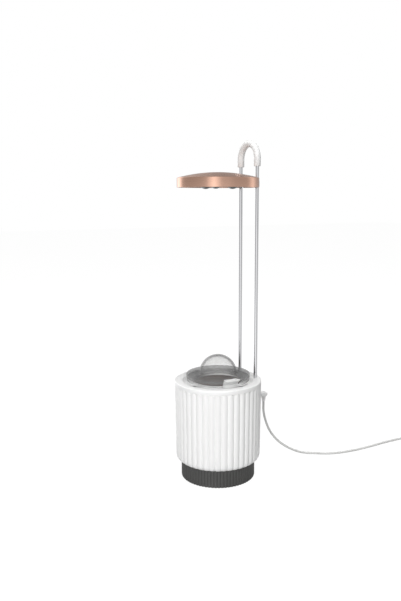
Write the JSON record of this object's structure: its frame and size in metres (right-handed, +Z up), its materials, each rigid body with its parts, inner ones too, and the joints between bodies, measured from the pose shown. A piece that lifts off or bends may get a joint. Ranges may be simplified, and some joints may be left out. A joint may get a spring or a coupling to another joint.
{
  "type": "countertop hydroponic garden",
  "caption": "Small countertop hydroponic planter: a fluted water base with a lift-out pot under a clear domed lid, and a round grow lamp on rods with a carrying handle.",
  "frame": {"origin": "on the table, under the middle of the base", "axes": "+Z up along the base's axis; +Y towards the lamp rods and the USB socket at the back; +X to the right seen from the front (-Y)"},
  "size_m": [0.188, 0.4353, 0.4637],
  "materials": {
    "shell_white": "satin",
    "tank_white": "matte",
    "foot_grey": "matte",
    "rubber": "matte",
    "screw_steel": "satin",
    "board_green": "satin",
    "chip_black": "satin",
    "usb_steel": "satin",
    "contact_brass": "satin",
    "rod_chrome": "polished",
    "wire_red": "satin",
    "wire_black": "satin",
    "wick_fibre": "matte",
    "coir": "matte",
    "clear_plastic": "polished",
    "lamp_copper": "brushed",
    "lamp_under": "matte",
    "led_board_white": "satin",
    "led_yellow": "satin",
    "lens_grey": "polished",
    "aluminium": "satin",
    "cord_grey": "satin",
    "tie_grey": "matte"
  },
  "bodies": {
    "base": {"outer_shell": "shell_white", "top_collar": "shell_white", "reservoir": "tank_white", "tank_seal": "rubber", "foot_ring": "foot_grey", "bottom_cover": "foot_grey", "foot_pads": "rubber", "cover_screws": "screw_steel", "control_board": "board_green", "board_parts": "chip_black", "board_screws": "screw_steel", "usb_socket": "usb_steel", "rod_socket_left": "contact_brass", "rod_socket_right": "contact_brass", "rod_left": "rod_chrome", "rod_right": "rod_chrome", "wire_plus": "wire_red", "wire_minus": "wire_black", "top_handle": "shell_white"},
    "pot": {"grow_pot": "shell_white", "wick_tube": "shell_white", "wick": "wick_fibre"},
    "medium": {"growing_medium": "coir"},
    "ring": {"lid_ring": "clear_plastic"},
    "lid": {"clear_lid": "clear_plastic"},
    "lamp_carriage": {"rod_clips": "contact_brass"},
    "lamp": {"lamp_housing": "lamp_copper", "lamp_plate": "lamp_under", "led_board": "led_board_white", "led_chips": "led_yellow", "led_lenses": "lens_grey", "heat_spreader": "aluminium", "spreader_screws": "screw_steel", "plate_screws": "screw_steel", "contact_springs": "contact_brass", "lamp_wires": "wire_red"},
    "usb_plug": {"usb_tip": "usb_steel", "plug_body": "shell_white", "strain_relief": "shell_white", "cord_tube": "cord_grey", "cord_coil": "cord_grey", "cord_tail": "cord_grey", "coil_tie": "tie_grey", "charger_plug": "shell_white", "charger_tip": "usb_steel"}
  },
  "joints": [
    {"name": "pot_lift", "type": "slide", "parent": "base", "child": "pot", "axis": [0, 0, 1], "range_m": [0, 0.1278]},
    {"name": "medium_lift", "type": "slide", "parent": "pot", "child": "medium", "axis": [0, 0, 1], "range_m": [0, 0.0396]},
    {"name": "ring_lift", "type": "slide", "parent": "medium", "child": "ring", "axis": [0, 0, 1], "range_m": [0, 0.0273]},
    {"name": "lid_lift", "type": "slide", "parent": "ring", "child": "lid", "axis": [0, 0, 1], "range_m": [0, 0.0114]},
    {"name": "lamp_height", "type": "slide", "parent": "base", "child": "lamp_carriage", "axis": [0, 0, 1], "range_m": [-0.18, 0]},
    {"name": "lamp_pull", "type": "slide", "parent": "lamp_carriage", "child": "lamp", "axis": [0, -1, 0], "range_m": [0, 0.0427]},
    {"name": "plug_pull", "type": "slide", "parent": "base", "child": "usb_plug", "axis": [0, 1, 0], "range_m": [0, 0.032]}
  ]
}
